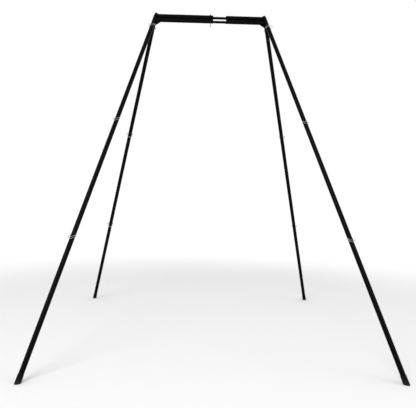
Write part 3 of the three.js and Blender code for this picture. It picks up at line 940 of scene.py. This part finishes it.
def web_plate(side):
    """The plate that fills the fork between the two stubs."""
    down, inwards = leaning(side)
    outline = [
        (-WEB_TOP * SPLAY, WEB_TOP),
        (WEB_TOP * SPLAY, WEB_TOP),
        (WEB_BOTTOM * SPLAY, WEB_BOTTOM),
        (-WEB_BOTTOM * SPLAY, WEB_BOTTOM),
    ]
    return plate(outline, [0, 0, 0, 0], PLATE_THICKNESS, Y_AXIS, down, Vector())


def gusset(side):
    """The upright plate in the corner under the crossbar."""
    top = -APEX_RISE - BEAM_HALF_HEIGHT - TOUCH_GAP
    outline = [
        (-side * GUSSET_REACH, top),
        (0, top - GUSSET_DROP),
        (side * WEB_BOTTOM * LEAN.x, WEB_BOTTOM * LEAN.z),
        (side * top * LEAN.x / LEAN.z, top),
    ]
    return plate(outline, [PLATE_CORNER / 2, PLATE_CORNER, 0, 0], PLATE_THICKNESS, X_AXIS, Z_AXIS, Vector())


def yoke(side, side_name):
    """Two mitred stubs with their spigots, an end plate, a web plate and a gusset."""
    legs = (f"front_{side_name}", f"back_{side_name}")
    turns = {leg: LEG_FRAMES[leg].to_3x3().to_4x4() for leg in legs}
    front = turns[legs[0]]
    stubs = mirrored_pair(turned(tube(TUBE_RADIUS, BORE_RADIUS, -BLANK_OVERRUN, STUB_LENGTH), front))
    bores = mirrored_pair(turned(rod(BORE_RADIUS, -BLANK_OVERRUN, STUB_LENGTH + OVERRUN), front))
    bm = cut(joined(stubs, end_plate(side), web_plate(side), gusset(side)), bores)
    sleeves = []
    for leg in legs:
        whole = sleeve(STUB_LENGTH - WELD_DEPTH, STUB_LENGTH + SPIGOT_REACH)
        sleeves.append(turned(cut(whole, pin_hole(STUB_LENGTH + PIN_INSET, leg)), turns[leg]))
    finer(f"{side_name}_yoke", together(bm, *sleeves), apex(side), "black_powder_coat")


# Weld beads

def bead(points, outs, radius=BEAD_RADIUS, closed=False):
    """A rippled weld bead along a line, with its ends drawn down unless it is closed."""
    lengths = [0.0]
    for before, after in zip(points, points[1:]):
        lengths.append(lengths[-1] + (after - before).length)
    radii = []
    for run in lengths:
        swell = abs(math.sin(math.pi * run / BEAD_RIPPLE))
        share = BEAD_WAIST_SHARE + (1 - BEAD_WAIST_SHARE) * swell
        if not closed:
            edge = min(run, lengths[-1] - run) / (BEAD_TAPER_SHARE * radius)
            share *= math.sqrt(max(1 - (1 - min(edge, 1)) ** 2, BEAD_TIP_AREA_SHARE))
        radii.append(radius * share)
    return sweep(points, radii, BEAD_SIDES, outs, closed, lag=radius * BEAD_LAG_SHARE)


def straight_bead(start, end, out, radius=BEAD_RADIUS):
    count = max(2, round((end - start).length / BEAD_STEP))
    points = [start.lerp(end, step / count) for step in range(count + 1)]
    return bead(points, [out] * len(points), radius)


def ring_bead(radius, plane_place, plane_out, axis, centre):
    """A bead round a tube where a plane cuts it."""
    count = round(2 * math.pi * radius / BEAD_STEP)
    first = axis.orthogonal().normalized()
    second = axis.cross(first)
    points = []
    outs = []
    for angle in circle(count):
        spoke = first * math.cos(angle) + second * math.sin(angle)
        base = centre + spoke * radius
        along = (plane_place - base).dot(plane_out) / axis.dot(plane_out)
        points.append(base + axis * along)
        outs.append(spoke)
    return bead(points, outs, closed=True)


def beam_end_beads(inwards):
    """Beads round both crossbar tubes, where they meet the end plate."""
    face = inwards * (TUBE_RADIUS + PLATE_PROUD)
    centres = [Vector((0, 0, level * BEAM_PITCH / 2 - APEX_RISE)) for level in (-1, 1)]
    return [ring_bead(TUBE_RADIUS, face, inwards, X_AXIS, centre) for centre in centres]


def web_beads(side_name, inwards):
    """Beads along both faces of the web plate, on each stub."""
    start = TUBE_RADIUS / SPLAY + BEAD_RADIUS
    end = STUB_LENGTH - WEB_MARGIN - TUBE_RADIUS * SPLAY
    beads = []
    for name in ("front", "back"):
        axis = leg_axis(f"{name}_{side_name}")
        towards = axis.cross(inwards).normalized()
        towards *= -math.copysign(1, towards.y * axis.y)
        for hand in (-1, 1):
            offset = towards * TUBE_RADIUS + inwards * (hand * PLATE_THICKNESS / 2)
            out = (towards + inwards * hand).normalized()
            beads.append(straight_bead(axis * start + offset, axis * end + offset, out))
    return beads


def gusset_beads(side, down, inwards):
    """Beads along both faces of the gusset, under the crossbar and on the web plate."""
    top = -APEX_RISE - BEAM_HALF_HEIGHT
    beads = []
    for hand in (-1, 1):
        edge = Vector((0, hand * PLATE_THICKNESS / 2, 0))
        start = Vector((-side * (TUBE_RADIUS + PLATE_PROUD + BEAD_RADIUS), 0, top)) + edge
        end = Vector((-side * (GUSSET_REACH - PLATE_CORNER), 0, top)) + edge
        beads.append(straight_bead(start, end, (Y_AXIS * hand - Z_AXIS).normalized()))
        face = inwards * (PLATE_THICKNESS / 2) + edge
        start = down * (-top + PLATE_MARGIN * 2) + face
        end = down * (WEB_BOTTOM - WEB_BEAD_STOP) + face
        beads.append(straight_bead(start, end, (Y_AXIS * hand + inwards).normalized()))
    return beads


def yoke_welds(side, side_name):
    """Beads round the mitre and both crossbar tubes, and along the web plate and the gusset."""
    down, inwards = leaning(side)
    axis = leg_axis(f"front_{side_name}")
    beads = [ring_bead(TUBE_RADIUS - MITRE_BEAD_SINK, Vector(), Y_AXIS, axis, Vector())]
    beads += beam_end_beads(inwards)
    beads += web_beads(side_name, inwards)
    beads += gusset_beads(side, down, inwards)
    piece(f"{side_name}_yoke_welds", together(*beads), apex(side), "black_powder_coat", crease=60)


def crossbar_welds(side, side_name):
    """Stitch welds in the two valleys between the stacked tubes, and the coat that closes their seam."""
    low, high = sorted((inner_end(side), side * (APEX_HALF_SPAN - TUBE_RADIUS)))
    count = math.floor((high - low) / STITCH_PITCH)
    half = X_AXIS * (STITCH_LENGTH / 2)
    beads = []
    for hand in (-1, 1):
        seam = turned(rod(SEAM_RADIUS, low, high, BEAD_SIDES), ALONG_X)
        beads.append(turned(seam, Matrix.Translation((0, hand * SEAM_OFFSET, 0))))
        for index in range(count):
            middle = low + (high - low) * (index + 0.5) / count
            centre = Vector((middle, hand * STITCH_OFFSET, 0))
            beads.append(straight_bead(centre - half, centre + half, Y_AXIS * hand, STITCH_RADIUS))
    piece(f"{side_name}_crossbar_welds", together(*beads), BEAM_MIDDLE, "black_powder_coat", crease=60)


# Crossbar

def inner_end(side):
    """Where a half of the crossbar ends, at its open middle."""
    return LEFT_HALF_END if side < 0 else RIGHT_HALF_END


def bolt_hole():
    return rod(BOLT_HOLE_RADIUS, -2 * BEAM_PITCH, 2 * BEAM_PITCH, SMALL_SIDES)


def beyond_end_plate(side):
    """A block outside the end plate's inner face."""
    down, inwards = leaning(side)
    size = TRIM_BLOCK
    away = TUBE_RADIUS + PLATE_PROUD + TOUCH_GAP
    outline = rectangle(-size, size, -size, size)
    meeting = Vector((side * APEX_HALF_SPAN, 0, APEX_RISE))
    return plate(outline, [0] * 4, size, Y_AXIS, down, meeting + inwards * (away - size / 2))


def crossbar_tube(side, side_name, level, level_name):
    """An upper or lower tube of one half, cut to lie against the end plate."""
    height = level * BEAM_PITCH / 2
    inner = inner_end(side)
    start, end = sorted((inner, side * APEX_HALF_SPAN))
    marks = [start + ring for ring in BEAM_RINGS] + [end - ring for ring in BEAM_RINGS]
    bm = tube(TUBE_RADIUS, BORE_RADIUS, start, end, marks)
    bm = turned(bm, Matrix.Translation((0, 0, height)) @ ALONG_X)
    if side < 0:
        hole = bolt_hole()
    else:
        hole = turned(rivet_hole(height - BAR_DROP), Matrix.Translation((BAR_RIVET_PLACE, 0, 0)))
    bm = cut(bm, beyond_end_plate(side), hole)

    def wear(point):
        return fading(RIM_WEAR, abs(point.x - inner), BEAM_RIM_REACH)

    finer(f"{side_name}_crossbar_{level_name}_tube", bm, BEAM_MIDDLE, "black_powder_coat", wear)


def coupler_bar(level, level_name):
    """A thinner bar that bridges the open middle, riveted in the right half."""
    height = level * BEAM_PITCH / 2 - BAR_DROP
    marks = [LEFT_HALF_END + ring for ring in BAR_LEFT_RINGS]
    marks += [RIGHT_HALF_END - ring for ring in BAR_RIGHT_RINGS]
    start = LEFT_HALF_END - BAR_GRIP_LEFT
    end = RIGHT_HALF_END + BAR_GRIP_RIGHT
    bm = tube(BAR_RADIUS, BAR_RADIUS - BAR_WALL, start, end, marks, lead=SPIGOT_LEAD)
    bm = turned(bm, Matrix.Translation((0, 0, height)) @ ALONG_X)
    bm = cut(bm, bolt_hole())
    bm = together(bm, turned(rivet(), Matrix.Translation((BAR_RIVET_PLACE, 0, height))))

    def wear(point):
        return fading(BAR_WEAR, abs(point.x - LEFT_HALF_END), BAR_WEAR_REACH)

    finer(f"{level_name}_coupler_bar", bm, BEAM_MIDDLE, "black_powder_coat", wear)


# Eye bolt

def thread_radius(height, turn, start, end):
    """The shank's radius at a height and a share of a turn, with its thread run in from the start."""
    runs = (height - start) / THREAD_PITCH
    phase = (runs - turn) % 1
    depth = THREAD_DEPTH * (1 - abs(2 * phase - 1)) * max(min(runs, 1), 0)
    point = max(height - (end - THREAD_DEPTH), 0)
    return min(BOLT_RADIUS - depth, BOLT_RADIUS - point)


def threaded_shank(start, thread_start, end):
    """A shank along Z with a helical thread on its upper end."""
    count = round((end - thread_start) / (THREAD_PITCH / THREAD_ROWS))
    rows = [start, thread_start]
    rows += [thread_start + (end - thread_start) * (step + 1) / count for step in range(count)]
    bm = bmesh.new()
    rings = []
    for height in rows:
        ring = []
        for side in range(SMALL_SIDES):
            radius = thread_radius(height, side / SMALL_SIDES, thread_start, end)
            angle = 2 * math.pi * side / SMALL_SIDES
            ring.append(bm.verts.new((radius * math.cos(angle), radius * math.sin(angle), height)))
        rings.append(ring)
    return skinned(bm, rings, capped=True)


def eye_bolt():
    """A forged eye under the crossbar, with a collar, and a shank up through both of its tubes."""
    shoulder = -BEAM_HALF_HEIGHT - TOUCH_GAP
    collar_foot = shoulder - COLLAR_HEIGHT
    eye_middle = collar_foot - EYE_RADIUS
    points = []
    for angle in circle(EYE_STEPS):
        height = eye_middle + EYE_RADIUS * math.cos(angle)
        points.append(Vector((0, EYE_RADIUS * math.sin(angle), height)))
    ring = sweep(points, [EYE_RING_RADIUS] * EYE_STEPS, EYE_RING_SIDES, [X_AXIS] * EYE_STEPS, closed=True)
    outline = [
        (0, collar_foot - EYE_RING_RADIUS),
        (EYE_RING_RADIUS * NECK_ROOT_SHARE, collar_foot - EYE_RING_RADIUS),
        (EYE_RING_RADIUS, collar_foot - EYE_RING_RADIUS * NECK_DROP_SHARE),
        (EYE_RING_RADIUS * NECK_FLARE_SHARE, collar_foot),
        (COLLAR_RADIUS, shoulder - COLLAR_HEIGHT * COLLAR_RIM_SHARE),
        (COLLAR_RADIUS, shoulder),
        (0, shoulder),
    ]
    radii = [0, 0, NECK_ROUND, NECK_ROUND, COLLAR_ROUND, COLLAR_EDGE, 0]
    neck = lathe(rounded(outline, radii, steps=5), SMALL_SIDES)
    shank = threaded_shank(shoulder - COLLAR_HEIGHT / 2, NUT_SEAT - THREAD_START, NUT_TOP + BOLT_STAND)
    bm = joined(ring, neck, shank)

    def wear(point):
        return fading(EYE_WEAR, point.z - (eye_middle - EYE_RADIUS), EYE_WEAR_REACH)

    finer("hanging_eye_bolt", bm, BEAM_MIDDLE, "zinc_plate", wear, crease=40)


def washer():
    outline = rectangle(BOLT_HOLE_RADIUS, WASHER_RADIUS, WASHER_SEAT, WASHER_SEAT + WASHER_THICKNESS)
    radii = [WASHER_BORE_EDGE, WASHER_LOWER_EDGE, WASHER_UPPER_EDGE, WASHER_BORE_EDGE]
    bm = lathe(rounded(outline, radii), closed=True)
    finer("eye_bolt_washer", bm, BEAM_MIDDLE, "zinc_plate")


def nut():
    """A hexagon nut with its corners turned off on both faces and a countersunk bore."""
    hexagon = rod(NUT_RADIUS, NUT_SEAT, NUT_TOP, NUT_SIDES)
    flat = NUT_RADIUS * math.cos(math.pi / NUT_SIDES)
    slope = (NUT_RADIUS - flat) * math.tan(NUT_CHAMFER_ANGLE) * NUT_CHAMFER_SHARE
    face = flat * NUT_FACE_SHARE * NUT_ROUND_SHARE
    corner = NUT_RADIUS * NUT_ROUND_SHARE
    turning = [
        (0, NUT_SEAT),
        (face, NUT_SEAT),
        (corner, NUT_SEAT + slope),
        (corner, NUT_TOP - slope),
        (face, NUT_TOP),
        (0, NUT_TOP),
    ]
    shape = combine(hexagon, [lathe(turning, NUT_ROUND_SIDES)], "INTERSECT")
    radius = BOLT_RADIUS + TOUCH_GAP
    sink = NUT_TOP - NUT_SINK
    bore = [
        (0, NUT_SEAT - OVERRUN),
        (radius, NUT_SEAT - OVERRUN),
        (radius, sink),
        (radius + OVERRUN, sink + OVERRUN),
        (0, sink + OVERRUN),
    ]
    bm = cut(shape, lathe(bore, SMALL_SIDES))
    finer("eye_bolt_nut", bm, BEAM_MIDDLE, "zinc_plate", crease=25)


# The whole rig

for leg in LEGS:
    whole_leg(leg)
    for place in PLACES:
        lock_pin(place, leg)
        wire_loop(place, leg)
for side, side_name in ((-1, "left"), (1, "right")):
    yoke(side, side_name)
    yoke_welds(side, side_name)
    crossbar_welds(side, side_name)
    crossbar_tube(side, side_name, 1, "upper")
    crossbar_tube(side, side_name, -1, "lower")
coupler_bar(1, "upper")
coupler_bar(-1, "lower")
eye_bolt()
washer()
nut()

# Stage and light
FLOOR_REACH = 60.0
FLOOR_SIDES = 96
FLOOR_ROUGHNESS = 0.9
FLOOR_SHINE = 0.1
FADE_START = 3.6
FADE_END = 8.0
AMBIENT = 0.75
KEY_POWER = 1220
KEY_PLACE = Vector((-6.0, -12.0, 10.8))
FILL_POWER = 340
FILL_PLACE = Vector((11.0, -6.0, 5.8))
LAMP_SIZE = 8.0
AIM = Vector((0, 0, 2.2))

# The photograph's own view, in its pixels, metres and degrees
IMAGE_WIDTH = 416
IMAGE_HEIGHT = 408
FOCAL_PIXELS = 454.0
MIDDLE_X = 198.07
MIDDLE_Y = 201.67
YAW = math.radians(-1.870)
PITCH = math.radians(-0.250)
ROLL = math.radians(0.935)
CAMERA_PLACE = Vector((-0.3146, -5.9026, 1.6794))
SENSOR = 36.0


def sees_background(tree):
    """1 for a ray from the camera or from a glossy or clear surface, and 0 for a diffuse one."""
    path = tree.new("LightPath")
    seen = tree.calculated("MAXIMUM", path.outputs["Is Camera Ray"], path.outputs["Is Glossy Ray"])
    return tree.calculated("MAXIMUM", seen, path.outputs["Is Transmission Ray"])


def floor():
    """A pale floor that keeps the shadows and fades to the white background far from the rig."""
    bm = bmesh.new()
    bmesh.ops.create_circle(bm, cap_ends=True, segments=FLOOR_SIDES, radius=FLOOR_REACH)
    mesh = mesh_from("floor", bm)
    ground = placed("floor", mesh)
    pale = Finish("pale_floor")
    pale.give("Base Color", (*FLOOR_COLOUR, 1))
    pale.give("Roughness", FLOOR_ROUGHNESS)
    pale.give("Specular IOR Level", FLOOR_SHINE)
    reach = pale.new("VectorMath")
    reach.operation = "LENGTH"
    pale.feed(reach.inputs[0], pale.place)
    fade = pale.new("MapRange", value=reach.outputs["Value"], from_min=FADE_START, from_max=FADE_END)
    fade.interpolation_type = "SMOOTHSTEP"
    white = pale.new("Emission", strength=1)
    mixed = pale.new("MixShader")
    pale.feed(mixed.inputs[0], pale.calculated("MULTIPLY", fade.outputs["Result"], sees_background(pale)))
    pale.feed(mixed.inputs[1], pale.shader.outputs[0])
    pale.feed(mixed.inputs[2], white.outputs[0])
    pale.feed(pale.nodes["Material Output"].inputs["Surface"], mixed.outputs[0])
    mesh.materials.append(pale.material)


def surroundings():
    """A white background, and a softer grey level of light from it on the rig."""
    world = bpy.data.worlds.new("studio")
    bpy.context.scene.world = world
    tree = NodeTree(world)
    background = tree.nodes["Background"]
    background.inputs["Color"].default_value = (1, 1, 1, 1)
    strength = tree.ramp(sees_background(tree), from_min=0, from_max=1, to_min=AMBIENT)
    tree.feed(background.inputs["Strength"], strength)


def lamp(name, place, power):
    light = bpy.data.lights.new(name, "AREA")
    light.energy = power
    light.size = LAMP_SIZE
    holder = placed(name, light)
    holder.location = place
    holder.rotation_euler = (AIM - place).to_track_quat("-Z", "Y").to_euler()
    holder.visible_camera = False


def camera():
    level = Vector((math.cos(YAW), math.sin(YAW), 0))
    ahead = Vector((-math.sin(YAW) * math.cos(PITCH), math.cos(YAW) * math.cos(PITCH), math.sin(PITCH)))
    upright = level.cross(ahead)
    right = level * math.cos(ROLL) + upright * math.sin(ROLL)
    data = bpy.data.cameras.new("camera")
    data.sensor_fit = "HORIZONTAL"
    data.sensor_width = SENSOR
    data.lens = SENSOR * FOCAL_PIXELS / IMAGE_WIDTH
    data.shift_x = (IMAGE_WIDTH / 2 - MIDDLE_X) / IMAGE_WIDTH
    data.shift_y = (MIDDLE_Y - IMAGE_HEIGHT / 2) / IMAGE_WIDTH
    data.clip_end = 2 * FLOOR_REACH
    holder = placed("camera", data)
    holder.matrix_world = basis(right, right.cross(ahead), -ahead, CAMERA_PLACE)
    bpy.context.scene.camera = holder


floor()
surroundings()
lamp("key", KEY_PLACE, KEY_POWER)
lamp("fill", FILL_PLACE, FILL_POWER)
camera()
bpy.context.scene.view_settings.view_transform = "Standard"
